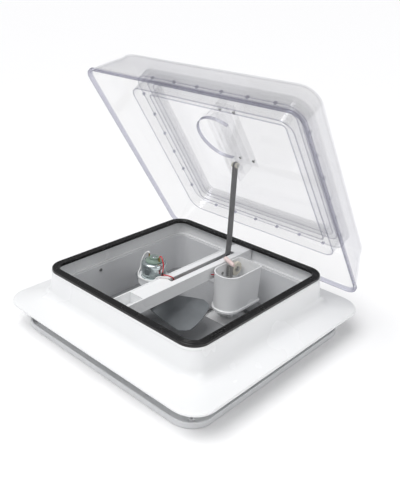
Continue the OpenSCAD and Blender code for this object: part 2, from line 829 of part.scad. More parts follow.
knuckle_w = 24;
module lid_dome() {
    w = lid_wall;
    top_r = 18;
    shoulder = lid_h - top_r;
    lean = 18;                                  // how far the walls lean in up to the shoulder
    corner = 24;
    turn = [for (i = [5:-1:1]) 90 * i / 5];
    drop = [for (i = [4:-1:0]) i / 4];
    color(clear)
        opened()
            union() {
                translate([0, lid_y, hinge_z])
                    loft(concat(
                        [[lid_half * 0.3, 12, lid_h], [lid_half * 0.62, 22, lid_h - 0.5]],
                        [for (a = turn)
                            [lid_half - lean - top_r * (1 - cos(a)), corner + 10 - 8 * (1 - cos(a)),
                             shoulder + (top_r - 1.5) * sin(a)]],
                        [for (t = drop)
                            [lid_half - lean * (0.75 * t + 0.25 * t * t), corner + 10 * t, shoulder * t]],
                        [for (t = [0, 0.33, 0.66])
                            [lid_half - w - lean * (0.75 * t + 0.25 * t * t), corner - w + 9 * t,
                             shoulder * t]],
                        [for (a = [0, 25, 50, 75])
                            [lid_half - lean - top_r + (top_r - w) * cos(a), corner + 6,
                             shoulder + (top_r - 3) * sin(a)]],
                        [[lid_half - lean - top_r, corner + 2, lid_h - 3]]), false);
                // the knuckles stand on the rear wall
                for (s = [-1, 1])
                    difference() {
                        translate([0, hinge_y, hinge_z]) {
                            rod_x(6.5, knuckle_w, s * hinge_x);
                            translate([s * hinge_x - knuckle_w / 2, 0, 0.2])
                                cube([knuckle_w, lid_back - 1.2, 6.3]);
                        }
                        translate([0, hinge_y, hinge_z]) rod_x(pin_r + fit, 60, s * hinge_x);
                    }
            }
}

// Ribbed inner frame: outer rib, sealing rib that presses the gasket, and the inner square
module lid_frame() {
    plate = 2;
    top = skin_z - 0.1;
    seal_z = gasket_top + gap;
    inner_z = hinge_z + 45;
    color(clear)
        opened() {
            sweep_square(seal_half, gasket_r - gasket_band / 2)
                translate([-1.2, seal_z]) square([2.4, top - seal_z]);
            sweep_square(inner_half, 8)
                translate([-1.2, inner_z]) square([2.4, top - inner_z]);
            translate([0, 0, top - plate])
                linear_extrude(plate)
                    difference() {
                        rounded_square(seal_half + 9, gasket_r + 2);
                        rounded_square(inner_half - 1.2, 6.8);
                    }
        }
}

track_front = pivot_y - 238;
track_back = pivot_y - 88;
track_foot = 20;
module slide_track() {
    inner = 7;                                  // half the space between the side plates
    plate = 2.2;
    rail_z = pin_z - roller_r - 5.4;
    top = skin_z - 0.1;
    color(clear)
        opened()
            difference() {
                translate([0, track_back, 0])
                    rotate([90, 0, 0])
                        linear_extrude(track_back - track_front)
                            union() {
                                for (s = [-1, 1]) {
                                    translate([s * (inner + plate / 2) - plate / 2, rail_z])
                                        square([plate, top - rail_z]);
                                    translate([s * (inner - 0.2) - 1.8, rail_z]) square([3.6, 2]);
                                }
                                translate([-inner - 1, pin_z + 7]) square([2 * inner + 2, 2]);
                                translate([-track_foot, top - plate_t]) square([2 * track_foot, plate_t]);
                            }
                for (x = [-1, 1], y = [track_front + 14, track_back - 14])
                    translate([x * (track_foot - 5), y, skin_z - 6]) cylinder(r = 1.6, h = 8);
            }
}

module track_stop() {
    color(clear)
        opened()
            translate([0, track_front - 7.4, pin_z - roller_r - 4]) {
                translate([-9, -3, 0]) cube([18, 9, 12]);
                cylinder(r = 7, h = skin_z - 0.1 - pin_z + roller_r + 4);
            }
}

module track_screws() {
    color(steel)
        opened()
            for (x = [-1, 1], y = [track_front + 14, track_back - 14])
                translate([x * (track_foot - 5), y, skin_z - 0.1])
                    rotate([180, 0, 0]) pan_screw(1.5, plate_t, 2.8, 1.2);
}

base_frame();
rim_gasket();
garnish();
garnish_screws();
screen_frame();
insect_screen();
crossbar();
crossbar_screws();
motor_can();
motor_end_cap();
motor_bushing();
motor_terminals();
motor_screws();
fan_shaft();
fan();
fan_clip();
operator_housing();
housing_screws();
crank_bushing();
worm();
crank_shaft();
crank_knob();
knob_screw();
gear_shaft();
arm_gear();
lift_arm();
arm_pin();
arm_rollers();
gear_clip();
switch_body();
switch_rocker();
lead_red();
lead_white();
lead_sleeve();
wire_connector();
hinge_pins();
hinge_clips();
lid_dome();
lid_frame();
slide_track();
track_stop();
track_screws();
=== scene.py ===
import json
import math

import bmesh
import bpy
from mathutils import Matrix, Vector


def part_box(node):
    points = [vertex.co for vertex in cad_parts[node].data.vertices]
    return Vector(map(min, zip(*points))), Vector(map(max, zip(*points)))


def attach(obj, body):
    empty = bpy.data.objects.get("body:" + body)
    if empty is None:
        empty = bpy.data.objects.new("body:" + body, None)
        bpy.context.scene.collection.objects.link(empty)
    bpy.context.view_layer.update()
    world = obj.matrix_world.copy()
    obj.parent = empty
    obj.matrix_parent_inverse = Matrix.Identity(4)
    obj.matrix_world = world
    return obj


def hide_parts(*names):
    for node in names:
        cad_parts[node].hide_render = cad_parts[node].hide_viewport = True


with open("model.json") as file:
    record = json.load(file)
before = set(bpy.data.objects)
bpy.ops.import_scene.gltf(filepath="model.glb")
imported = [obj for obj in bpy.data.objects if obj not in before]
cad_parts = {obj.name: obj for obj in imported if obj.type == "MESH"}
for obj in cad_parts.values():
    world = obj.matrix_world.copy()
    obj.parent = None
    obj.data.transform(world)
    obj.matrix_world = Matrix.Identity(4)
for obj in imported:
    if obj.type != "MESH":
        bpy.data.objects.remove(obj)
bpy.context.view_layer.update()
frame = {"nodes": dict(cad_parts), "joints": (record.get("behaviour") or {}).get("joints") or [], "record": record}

# ---- Camera -------------------------------------------------------------------------------------
# A short portrait lens on a tripod, above the front corner of the vent and looking down across the
# opening. It is turned a degree and a half on its axis and shifted to frame the open lid.
azimuth = math.radians(44.68)
elevation = math.radians(22.54)
roll = math.radians(1.58)
back = Vector((math.sin(azimuth) * math.cos(elevation),
               -math.cos(azimuth) * math.cos(elevation),
               math.sin(elevation)))
level = (-back).cross(Vector((0, 0, 1))).normalized()
upright = level.cross(-back)
tripod_head = (0.66712, -0.76942, 0.63127)
camera = bpy.data.objects.new("camera", bpy.data.cameras.new("camera"))
bpy.context.scene.collection.objects.link(camera)
camera.matrix_world = Matrix.Translation(tripod_head) @ Matrix((
    level * math.cos(roll) + upright * math.sin(roll),
    upright * math.cos(roll) - level * math.sin(roll),
    back)).transposed().to_4x4()
camera.data.lens = 45.95
camera.data.shift_x = 0.10
camera.data.shift_y = -0.06
camera.data.clip_end = 100
bpy.context.scene.camera = camera


# ---- Studio -------------------------------------------------------------------------------------
# A white paper sweep under a wide overhead scrim and two softboxes, in a bright tent whose
# walls are darker than its roof, so that gloss and metal have something to show.
def linear(code):
    """An sRGB hex colour as linear red, green, blue and alpha."""
    parts = [int(code[i:i + 2], 16) / 255 for i in (1, 3, 5)]
    return (*(p / 12.92 if p <= 0.04045 else ((p + 0.055) / 1.055) ** 2.4 for p in parts), 1)


def add(tree, kind, inputs=None, **settings):
    """Adds one shader node with its settings; an input takes a value or a link from a socket."""
    made = tree.nodes.new(kind)
    for name, value in settings.items():
        setattr(made, name, value)
    for name, value in (inputs or {}).items():
        if isinstance(value, bpy.types.NodeSocket):
            tree.links.new(value, made.inputs[name])
        else:
            made.inputs[name].default_value = value
    return made


def new_material(name):
    """An empty node material and its tree."""
    material = bpy.data.materials.new(name)
    material.use_nodes = True
    material.node_tree.nodes.clear()
    return material, material.node_tree


def softbox(name, place, aim, size, watts):
    """A square area light at place, turned towards aim."""
    lamp = bpy.data.lights.new(name, "AREA")
    lamp.size = size
    lamp.energy = watts
    box = bpy.data.objects.new(name, lamp)
    bpy.context.scene.collection.objects.link(box)
    box.location = place
    box.rotation_euler = (Vector(aim) - Vector(place)).to_track_quat("-Z", "Y").to_euler()


softbox_side = 1.2
opening_middle = (0, 0, 0.1)
softbox("side_softbox", (2.4, -0.2, 1.3), opening_middle, softbox_side, 9)
softbox("front_softbox", (0.3, -2.4, 1.5), opening_middle, softbox_side, 3)

# the scrim is so far off and so wide that it lights the whole sweep evenly
scrim = bpy.data.objects.new("overhead_scrim", bpy.data.lights.new("overhead_scrim", "SUN"))
bpy.context.scene.collection.objects.link(scrim)
scrim.data.energy = 2.0
scrim.data.angle = math.radians(45)
scrim.rotation_euler = Vector((0.12, 0.42, -1)).to_track_quat("-Z", "Y").to_euler()

world = bpy.data.worlds.new("light_tent")
bpy.context.scene.world = world
world.use_nodes = True
tent = world.node_tree
tent.nodes.clear()
direction = add(tent, "ShaderNodeTexCoord")
height = add(tent, "ShaderNodeSeparateXYZ", {"Vector": direction.outputs["Generated"]})
wall = add(tent, "ShaderNodeValToRGB", {"Fac": height.outputs["Z"]})
wall.color_ramp.elements[0].color = (0.5, 0.5, 0.51, 1)
wall.color_ramp.elements[1].color = (0.9, 0.9, 0.92, 1)
wall.color_ramp.elements[1].position = 0.75
lining = add(tent, "ShaderNodeBackground", {"Color": wall.outputs["Color"], "Strength": 0.55})
paper = add(tent, "ShaderNodeBackground", {"Color": (1, 1, 1, 1), "Strength": 1.05})
ray = add(tent, "ShaderNodeLightPath")
seen = add(tent, "ShaderNodeMixShader", {"Fac": ray.outputs["Is Camera Ray"], 1: lining.outputs[0],
                                         2: paper.outputs[0]})
add(tent, "ShaderNodeOutputWorld", {"Surface": seen.outputs[0]})

sweep_mesh = bpy.data.meshes.new("paper_sweep")
sweep_side = 30
sweep_mesh.from_pydata([(x * sweep_side, y * sweep_side, -0.0003)
                        for x, y in ((-1, -1), (1, -1), (1, 1), (-1, 1))], [], [(0, 1, 2, 3)])
sweep = bpy.data.objects.new("paper_sweep", sweep_mesh)
bpy.context.scene.collection.objects.link(sweep)
# Matt white background paper: a faint tooth, no gloss.
paper_white, tree = new_material("matt_white_paper")
tooth = add(tree, "ShaderNodeTexNoise", {"Scale": 900.0, "Detail": 2.0})
relief = add(tree, "ShaderNodeBump", {"Height": tooth.outputs["Fac"], "Strength": 0.05, "Distance": 0.0002})
surface = add(tree, "ShaderNodeBsdfPrincipled", {
    "Base Color": linear("#fbfbfb"), "Roughness": 0.9, "Specular IOR Level": 0.1,
    "Normal": relief.outputs["Normal"]})
add(tree, "ShaderNodeOutputMaterial", {"Surface": surface.outputs[0]})
sweep_mesh.materials.append(paper_white)

scene = bpy.context.scene
scene.view_settings.view_transform = "Standard"
scene.cycles.transparent_max_bounces = 48


# ---- Base frame ---------------------------------------------------------------------------------
# The white roof moulding: a square collar that flares into a drooping flange, with a neck below that
# goes through the roof and a ledge inside. Injection-moulded ABS in one shot, hinge ears included.
def corners(node):
    """Lowest and highest corner of a CAD node at rest, in millimetres."""
    low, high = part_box(node)
    return low * 1000, high * 1000


def filleted(outline, steps=4):
    """Closed outline of (x, y, cut) points; a corner with a cut is rounded from that far off it."""
    rounded = []
    for i, (x, y, cut) in enumerate(outline):
        here = Vector((x, y))
        if not cut:
            rounded.append(here)
            continue
        before = Vector(outline[i - 1][:2])
        after = Vector(outline[(i + 1) % len(outline)][:2])
        start = here + (before - here).normalized() * cut
        end = here + (after - here).normalized() * cut
        for step in range(steps + 1):
            t = step / steps
            rounded.append(start * (1 - t) ** 2 + here * 2 * t * (1 - t) + end * t * t)
    return rounded


def square_ring(half, radius, z, steps=12):
    """Points round a rounded square."""
    ring = []
    for quarter in range(4):
        turn = math.radians(90 * quarter + 45)
        centre = Vector((math.copysign(half - radius, math.cos(turn)),
                         math.copysign(half - radius, math.sin(turn)), z))
        for step in range(steps + 1):
            angle = math.radians(90 * (quarter + step / steps))
            ring.append(centre + radius * Vector((math.cos(angle), math.sin(angle), 0)))
    return ring


def loft(rings, capped=False):
    """A solid through rings of equal length: a closed tube of rings, or a stack with flat ends."""
    count = len(rings[0])
    points = [p for ring in rings for p in ring]
    spans = len(rings) - 1 if capped else len(rings)
    faces = []
    for i in range(spans):
        below = i * count
        above = (i + 1) % len(rings) * count
        for j in range(count):
            k = (j + 1) % count
            faces.append((below + j, below + k, above + k, above + j))
    if capped:
        faces.append(tuple(reversed(range(count))))
        faces.append(tuple(range(len(points) - count, len(points))))
    return points, faces


def prism(outline, z_low, z_high):
    """An outline of (x, y) points raised from z_low to z_high."""
    return loft([[Vector((p[0], p[1], z)) for p in outline] for z in (z_low, z_high)], capped=True)


def block(low, high):
    """A box between two corners, for ribs, lugs and plates."""
    return prism([(low[0], low[1]), (high[0], low[1]), (high[0], high[1]), (low[0], high[1])],
                 low[2], high[2])


def lathe(profile, centre, steps=48):
    """A turned solid about the vertical through centre; profile points are (radius, z)."""
    return loft([[Vector((centre[0] + r * math.cos(a), centre[1] + r * math.sin(a), z))
                  for a in (2 * math.pi * k / steps for k in range(steps))]
                 for r, z in profile], capped=True)


def turned(solid, matrix):
    """The same solid moved by a matrix."""
    return [matrix @ Vector(p) for p in solid[0]], solid[1]


def mesh_of(name, solids):
    """A mesh in metres from solids in millimetres; each solid may name its finish as a third item."""
    points = []
    faces = []
    finishes = []
    for solid in solids:
        first = len(points)
        points += [Vector(p) / 1000 for p in solid[0]]
        faces += [tuple(first + i for i in face) for face in solid[1]]
        finishes += [solid[2] if len(solid) > 2 else 0] * len(solid[1])
    mesh = bpy.data.meshes.new(name)
    mesh.from_pydata(points, [], faces)
    for face, finish in zip(mesh.polygons, finishes):
        face.material_index = finish
    shape = bmesh.new()
    shape.from_mesh(mesh)
    bmesh.ops.remove_doubles(shape, verts=shape.verts, dist=1e-7)
    bmesh.ops.recalc_face_normals(shape, faces=shape.faces)
    shape.to_mesh(mesh)
    shape.free()
    return mesh


def soften(obj, radius, angle=35):
    """Smooth shading with a small moulded or deburred radius on the sharp edges."""
    obj.data.shade_smooth()
    obj.data.set_sharp_from_angle(angle=math.radians(angle))
    if radius:
        edge = obj.modifiers.new("edge_radius", "BEVEL")
        edge.width = radius / 1000
        edge.segments = 2
        edge.limit_method = "ANGLE"
        edge.angle_limit = math.radians(angle)
        edge.harden_normals = True


def piece(name, solids, body, materials, replaced, radius=0.3, cuts=()):
    """A finished piece: its solids, less the cuts, riding on a body in place of its CAD nodes."""
    obj = bpy.data.objects.new(name, mesh_of(name, solids))
    bpy.context.scene.collection.objects.link(obj)
    if cuts:
        tool = bpy.data.objects.new(name + "_cut", mesh_of(name + "_cut", cuts))
        bpy.context.scene.collection.objects.link(tool)
        saw = obj.modifiers.new("cut", "BOOLEAN")
        saw.operation = "DIFFERENCE"
        saw.object = tool
        saw.solver = "EXACT"
        saw.use_self = True
        bpy.context.view_layer.update()
        sawn = bpy.data.meshes.new_from_object(obj.evaluated_get(bpy.context.evaluated_depsgraph_get()))
        obj.modifiers.clear()
        obj.data = sawn
        bpy.data.objects.remove(tool)
    for material in materials:
        obj.data.materials.append(material)
    soften(obj, radius)
    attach(obj, body)
    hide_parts(*replaced)
    return obj


# Glossy injection-moulded ABS: near-white, a soft sheen that wanders a little over the big faces,
# and the faint orange peel of a polished mould.
def moulded_abs(name, colour, gloss, peel):
    material, tree = new_material(name)
    place = add(tree, "ShaderNodeTexCoord").outputs["Object"]
    flow = add(tree, "ShaderNodeTexNoise", {"Vector": place, "Scale": 9.0, "Detail": 3.0})
    tint = add(tree, "ShaderNodeMix", {"Factor": flow.outputs["Fac"], 6: linear(colour[0]),
                                       7: linear(colour[1])}, data_type="RGBA")
    sheen = add(tree, "ShaderNodeMapRange", {"Value": flow.outputs["Fac"], "To Min": gloss[0],
                                             "To Max": gloss[1]})
    # orange peel is about 1.5 mm from crest to crest
    crest = add(tree, "ShaderNodeTexNoise", {"Vector": place, "Scale": 1 / 0.0015, "Detail": 2.0})
    skin = add(tree, "ShaderNodeBump", {"Height": crest.outputs["Fac"], "Strength": peel,
                                        "Distance": 0.0001})
    shader = add(tree, "ShaderNodeBsdfPrincipled", {
        "Base Color": tint.outputs[2], "Roughness": sheen.outputs["Result"], "IOR": 1.53,
        "Normal": skin.outputs["Normal"]})
    add(tree, "ShaderNodeOutputMaterial", {"Surface": shader.outputs[0]})
    return material


white_abs = moulded_abs("moulded_white_abs", ("#f1f2f2", "#ecedee"), (0.2, 0.32), 0.12)

base_low, base_high = corners("base_frame")
gasket_low, gasket_high = corners("rim_gasket")
mounts = {m["name"]: m for m in frame["record"]["mounts"]}
roof_z = mounts["roof_face"]["pos_m"][2] * 1000
flange_half = base_high.x
collar_half = gasket_high.x
collar_top = base_high.z
neck_half = collar_half - 6.5
wall_t = 3.4
ledge_z = collar_top - 25
lip_out = 1.2
# the flange droops from the flare to its edge, in degrees, and is hollow up to the sealing face
flange_t = 4.6
flange_seat = 30
droop = 12
flare_r = 18
flare_x = collar_half + 3.5
flare_z = roof_z + 30
# plan radii at the inside of the neck, at the collar and at the flange's edge
neck_r = 21
collar_r = 31
flange_r = 42


def flare(radius, start, end, steps):
    """Profile points of the curve between collar and flange, angles in degrees."""
    turn = [math.radians(start + (end - start) * i / steps) for i in range(steps + 1)]
    return [(flare_x + flare_r + radius * math.cos(a), flare_z + radius * math.sin(a), 0) for a in turn]


def corner_radius(x):
    """Corner radius of the moulding where its side stands at x: tight inside, wide at the flange."""
    if x < collar_half:
        share = (x - neck_half + wall_t) / (collar_half - neck_half + wall_t)
        return neck_r + (collar_r - neck_r) * share
    return collar_r + (flange_r - collar_r) * (x - collar_half) / (flange_half - collar_half)


base_profile = filleted([
    (collar_half, collar_top, 0.5),
    (collar_half + lip_out, collar_top - 0.4, 0.8),
    (collar_half + lip_out, collar_top - 3.8, 0.8),
    (collar_half + 0.4, collar_top - 4.8, 0.5),
    *flare(flare_r, 180, 270 - droop, 14),
    (flange_half - 5, roof_z + 5.5, 2),
    (flange_half, roof_z + 4.4, 2.6),
    (flange_half, roof_z, 0.4),
    (flange_half - flange_seat, roof_z, 0),
    (flange_half - flange_seat, roof_z + flange_t, 0),
    *flare(flare_r + wall_t, 270 - droop, 205, 8),
    (neck_half, flare_z - 12, 2),
    (neck_half, base_low.z, 0.6),
    (neck_half - wall_t, base_low.z, 0.6),
    (neck_half - wall_t, ledge_z, 1),
    (collar_half - wall_t - 2.4, ledge_z, 1.5),
    (collar_half - wall_t, collar_top, 0.5)])
base_rings = [square_ring(p.x, corner_radius(p.x), p.y) for p in base_profile]

pin_low, pin_high = corners("hinge_pins")
hinge_y = (pin_low.y + pin_high.y) / 2
hinge_z = (pin_low.z + pin_high.z) / 2
hinge_x = 120
ear_spread = 14.8
ear_t = 5

ears = []
for side in (-hinge_x, hinge_x):
    for x in (side - ear_spread, side + ear_spread):
        cheek = filleted([(hinge_y - 7, roof_z + 7, 0), (hinge_y + 1.5, roof_z + 7, 0),
                          (hinge_y + 7, hinge_z, 4), (hinge_y + 4, hinge_z + 6.8, 4),
                          (hinge_y - 4, hinge_z + 6.8, 4), (hinge_y - 7, hinge_z, 2)])
        ear = loft([[Vector((x + e, p.x, p.y)) for p in cheek] for e in (-ear_t / 2, ear_t / 2)],
                   capped=True)
        ears.append(ear)
piece("base_moulding", [loft(base_rings), *ears], "base", [white_abs], ["base_frame"], 0)


# ---- Rim gasket ---------------------------------------------------------------------------------
# The black seal that the lid presses on: an extruded EPDM strip with three rounded lands, pushed onto
# the collar's edge and joined into a square ring.
# Extruded EPDM: deep black with a soft gloss, a fine pebbled skin and a little bloom.
epdm, tree = new_material("extruded_epdm_rubber")
place = add(tree, "ShaderNodeTexCoord").outputs["Object"]
bloom = add(tree, "ShaderNodeTexNoise", {"Vector": place, "Scale": 60.0, "Detail": 4.0})
black = add(tree, "ShaderNodeMix", {"Factor": bloom.outputs["Fac"], 6: linear("#020202"),
                                    7: linear("#070708")}, data_type="RGBA")
satin = add(tree, "ShaderNodeMapRange", {"Value": bloom.outputs["Fac"], "To Min": 0.2, "To Max": 0.32})
grain = add(tree, "ShaderNodeTexNoise", {"Vector": place, "Scale": 1 / 0.0009, "Detail": 2.0})
drawn = add(tree, "ShaderNodeBump", {"Height": grain.outputs["Fac"], "Strength": 0.25,
                                     "Distance": 0.0001})
rubber = add(tree, "ShaderNodeBsdfPrincipled", {
    "Base Color": black.outputs[2], "Roughness": satin.outputs["Result"], "IOR": 1.52,
    "Normal": drawn.outputs["Normal"]})
add(tree, "ShaderNodeOutputMaterial", {"Surface": rubber.outputs[0]})

band = 13.3
seat = gasket_low.z
crown = gasket_high.z
groove_depth = 1.7
gasket_profile = filleted([
    (collar_half, seat, 0.4), (collar_half, crown - 0.6, 1.6),
    (collar_half - band * 0.16, crown, 1.2), (collar_half - band * 0.30, crown - 0.2, 0.8),
    (collar_half - band * 0.35, crown - groove_depth, 0.6), (collar_half - band * 0.40, crown - 0.2, 0.8),
    (collar_half - band * 0.50, crown, 1), (collar_half - band * 0.60, crown - 0.2, 0.8),
    (collar_half - band * 0.65, crown - groove_depth, 0.6), (collar_half - band * 0.70, crown - 0.2, 0.8),
    (collar_half - band * 0.84, crown, 1.2), (collar_half - band, crown - 0.6, 1.6),
    (collar_half - band, seat, 0.4)], 3)
gasket_rings = [square_ring(p.x, collar_r - (collar_half - p.x), p.y, 16) for p in gasket_profile]
piece("rim_gasket_strip", [loft(gasket_rings)], "base", [epdm], ["rim_gasket"], 0)


# ---- Ceiling garnish ----------------------------------------------------------------------------
# The trim ring that closes the cut-out from inside: a shallow tray with a turned-up edge, a square
# sleeve up into the neck, and four hollow posts for the ceiling screws. Moulded in satin ABS.
garnish_high = corners("garnish")[1]
garnish_half = garnish_high.x
garnish_r = 42
screw_x = mounts["garnish_screw_holes"]["dims"]["spacing_x_mm"] / 2
hole_r = mounts["garnish_screw_holes"]["dims"]["hole_r_mm"]
tray_t = 2.5
tray_edge = 12
sleeve_half = neck_half - wall_t + 0.4 - 2
sleeve_r = 20
lip_half = sleeve_half - 8.5
post_r = 5
garnish_profile = filleted([
    (garnish_half - 1.2, 0, 0.8), (garnish_half, 2.4, 1), (garnish_half, tray_edge, 1),
    (garnish_half - tray_t, tray_edge, 1), (garnish_half - tray_t, tray_t, 1.5),
    (sleeve_half, tray_t, 1.5), (sleeve_half, garnish_high.z, 0.8),
    (sleeve_half - tray_t, garnish_high.z, 0.8), (sleeve_half - tray_t, tray_t, 1),
    (lip_half, tray_t, 0.8), (lip_half, 0, 0.8)])


def garnish_radius(x):
    """Corner radius of the garnish where its side stands at x."""
    if x > sleeve_half:
        return sleeve_r + (garnish_r - sleeve_r) * (x - sleeve_half) / (garnish_half - sleeve_half)
    return sleeve_r - (sleeve_half - x)


# Satin ABS, less polished than the roof moulding, and painted a shade greyer as painted shade for the flange's
# shadow.
satin_abs_painted_shade = moulded_abs("satin_abs_with_painted_shade", ("#dedfe0", "#d5d6d8"), (0.35, 0.5), 0.2)

posts = [lathe([(post_r, tray_t - 0.5), (post_r, tray_edge - 0.5)], (x, y))
         for x in (-screw_x, screw_x) for y in (-screw_x, screw_x)]
holes = [lathe([(hole_r, -2), (hole_r, tray_edge + 2)], (x, y))
         for x in (-screw_x, screw_x) for y in (-screw_x, screw_x)]
garnish_rings = [square_ring(p.x, garnish_radius(p.x), p.y, 16) for p in garnish_profile]
piece("ceiling_garnish", [loft(garnish_rings), *posts], "base", [satin_abs_painted_shade], ["garnish"], 0,
      holes)

# ---- Insect screen ------------------------------------------------------------------------------
# A snap-in frame over the opening with a sheet of woven glass-fibre mesh and a well cut out round
# the crank knob.
# Mid-grey vinyl-coated yarn in a plain weave, with the gaps between the threads painted darker as painted shade.
# Real mesh is about 18 threads an inch; it is drawn at 2.4 mm so that the threads still show.
screen_weave, tree = new_material("woven_glass_fibre_screen")
place = add(tree, "ShaderNodeTexCoord").outputs["Object"]
pitch = 0.0024
warp = add(tree, "ShaderNodeTexWave", {"Vector": place, "Scale": 0.05 * 2 * math.pi / pitch},
           wave_type="BANDS", bands_direction="X")
weft = add(tree, "ShaderNodeTexWave", {"Vector": place, "Scale": 0.05 * 2 * math.pi / pitch},
           wave_type="BANDS", bands_direction="Y")
thread = add(tree, "ShaderNodeMath", {0: warp.outputs["Fac"], 1: weft.outputs["Fac"]}, operation="MAXIMUM")
# the gaps between the threads take the darker grey: painted shade for the shadowed floor seen through the weave
yarn_and_gap_shade = add(tree, "ShaderNodeMix", {"Factor": thread.outputs["Value"], 6: linear("#77787a"),
                                          7: linear("#a9aaac")}, data_type="RGBA")
rise = add(tree, "ShaderNodeBump", {"Height": thread.outputs["Value"], "Strength": 0.5,
                                    "Distance": 0.0003})
yarn = add(tree, "ShaderNodeBsdfPrincipled", {
    "Base Color": yarn_and_gap_shade.outputs[2], "Roughness": 0.55, "Normal": rise.outputs["Normal"]})
add(tree, "ShaderNodeOutputMaterial", {"Surface": yarn.outputs[0]})


def refinish(node, material, radius=0.2):
    """A CAD piece whose shape is right keeps it, and gets its real finish and edge radius."""
    obj = frame["nodes"][node]
    for place in obj.material_slots:
        place.material = material
    soften(obj, radius)


refinish("insect_screen", screen_weave, 0)
# Mid-grey ABS with a satin face, so that the screen does not glare from below.
grey_abs = moulded_abs("satin_grey_abs", ("#98999b", "#8b8c8e"), (0.4, 0.55), 0.25)
refinish("screen_frame", grey_abs, 0.5)

# ---- Crossbar -----------------------------------------------------------------------------------
# The beam across the opening carries motor and operator: a U-section moulded with the motor's
# cradle, a front pocket, and a long slot for the lift arm. Screwed to the collar at both ends.
refinish("crossbar", white_abs, 0.5)

# ---- Fan motor ----------------------------------------------------------------------------------
# A small 12 V motor stands in the cradle, shaft down: a deep-drawn can with a rolled edge, a pressed
# board end cap round the bearing boss, and two brass tabs for the leads.
# Bright zinc plate on drawn steel: mirror-like, with fine draw marks up the can.
def plated(name, colour, rough, marks):
    material, tree = new_material(name)
    place = add(tree, "ShaderNodeTexCoord").outputs["Object"]
    # drawn marks run along Z: the pattern is stretched tenfold that way
    stretch = add(tree, "ShaderNodeMapping", {"Vector": place, "Scale": (1.0, 1.0, 0.1)})
    mark = add(tree, "ShaderNodeTexNoise", {"Vector": stretch.outputs["Vector"], "Scale": 1 / 0.0012,
                                            "Detail": 3.0})
    cloud = add(tree, "ShaderNodeTexNoise", {"Vector": place, "Scale": 70.0, "Detail": 3.0})
    tone = add(tree, "ShaderNodeMix", {"Factor": cloud.outputs["Fac"], 6: linear(colour[0]),
                                       7: linear(colour[1])}, data_type="RGBA")
    haze = add(tree, "ShaderNodeMapRange", {"Value": cloud.outputs["Fac"], "To Min": rough[0],
                                            "To Max": rough[1]})
    groove = add(tree, "ShaderNodeBump", {"Height": mark.outputs["Fac"], "Strength": marks,
                                          "Distance": 0.0001})
    shader = add(tree, "ShaderNodeBsdfPrincipled", {
        "Base Color": tone.outputs[2], "Metallic": 1.0, "Roughness": haze.outputs["Result"],
        "Normal": groove.outputs["Normal"]})
    add(tree, "ShaderNodeOutputMaterial", {"Surface": shader.outputs[0]})
    return material


zinc = plated("bright_zinc_plate", ("#b9c4c6", "#d3dcdc"), (0.12, 0.26), 0.15)
steel = plated("turned_zinc_plated_steel", ("#a9a9a8", "#c4c4c2"), (0.25, 0.4), 0.2)
brass = plated("stamped_brass", ("#a8843c", "#c9a85c"), (0.25, 0.4), 0.2)

can_low, can_high = corners("motor_can")
shaft_low, shaft_high = corners("fan_shaft")
motor = (shaft_low + shaft_high) / 2
can_r = (can_high.x - can_low.x) / 2
can_profile = filleted([
    (3, can_low.z + 2.6, 0), (can_r - 1.2, can_low.z + 2.6, 1), (can_r - 0.4, can_low.z + 3.8, 1),
    (can_r - 0.4, can_high.z - 9, 0.4), (can_r, can_high.z - 8.4, 0.4), (can_r, can_high.z - 3.4, 1),
    (can_r - 1.2, can_high.z - 1.4, 1), (can_r - 4, can_high.z, 1.5), (3, can_high.z, 0)])[1:-1]
can_body = lathe([(p.x, p.y) for p in can_profile], motor, 64)
boss_ring = lathe([(6.5, can_low.z), (6.5, can_low.z + 3)], motor, 32)
# two shallow windows are pressed in the can's side
window_w = 10
window_turn = -0.9
windows = []
for k in range(2):
    window = block((can_r - 3, -window_w / 2, can_high.z - 26), (can_r + 3, window_w / 2, can_high.z - 14))
    windows.append(turned(window, Matrix.Translation((motor.x, motor.y, 0))
                          @ Matrix.Rotation(math.pi * k + window_turn, 4, "Z")))
piece("motor_can_drawn", [can_body, boss_ring], "base", [zinc], ["motor_can"], 0.2, windows)
refinish("motor_bushing", zinc, 0.5)
refinish("motor_terminals", brass, 0.15)
for node in ("motor_screws", "fan_shaft", "fan_clip", "crossbar_screws", "garnish_screws"):
    refinish(node, steel, 0.1)

# Pressed phenolic board: a dull green-grey with paper flecks.
phenolic, tree = new_material("pressed_phenolic_board")
place = add(tree, "ShaderNodeTexCoord").outputs["Object"]
fleck = add(tree, "ShaderNodeTexNoise", {"Vector": place, "Scale": 1 / 0.001, "Detail": 4.0})
board = add(tree, "ShaderNodeMix", {"Factor": fleck.outputs["Fac"], 6: linear("#5c6f64"),
                                    7: linear("#93a69a")}, data_type="RGBA")
matt = add(tree, "ShaderNodeBsdfPrincipled", {"Base Color": board.outputs[2], "Roughness": 0.5})
add(tree, "ShaderNodeOutputMaterial", {"Surface": matt.outputs[0]})
refinish("motor_end_cap", phenolic, 0.3)

# ---- Fan ----------------------------------------------------------------------------------------
# Three broad paddles on a ribbed hub, moulded in translucent grey polypropylene and pushed onto the
# motor's shaft with a spring clip. The paddles are cambered.
# Smoke-grey polypropylene: half see-through, waxy, with the milky flow marks of a thin moulding.
smoke, tree = new_material("translucent_grey_polypropylene")
place = add(tree, "ShaderNodeTexCoord").outputs["Object"]
milk = add(tree, "ShaderNodeTexNoise", {"Vector": place, "Scale": 25.0, "Detail": 3.0})
grey = add(tree, "ShaderNodeMix", {"Factor": milk.outputs["Fac"], 6: linear("#6e7275"),
                                   7: linear("#94989b")}, data_type="RGBA")
wax = add(tree, "ShaderNodeBsdfPrincipled", {"Base Color": grey.outputs[2], "Roughness": 0.3, "IOR": 1.49})
clear = add(tree, "ShaderNodeBsdfTransparent", {"Color": linear("#d8dcde")})
half_clear = add(tree, "ShaderNodeMixShader", {"Fac": 0.72, 1: clear.outputs[0], 2: wax.outputs[0]})
add(tree, "ShaderNodeOutputMaterial", {"Surface": half_clear.outputs[0]})

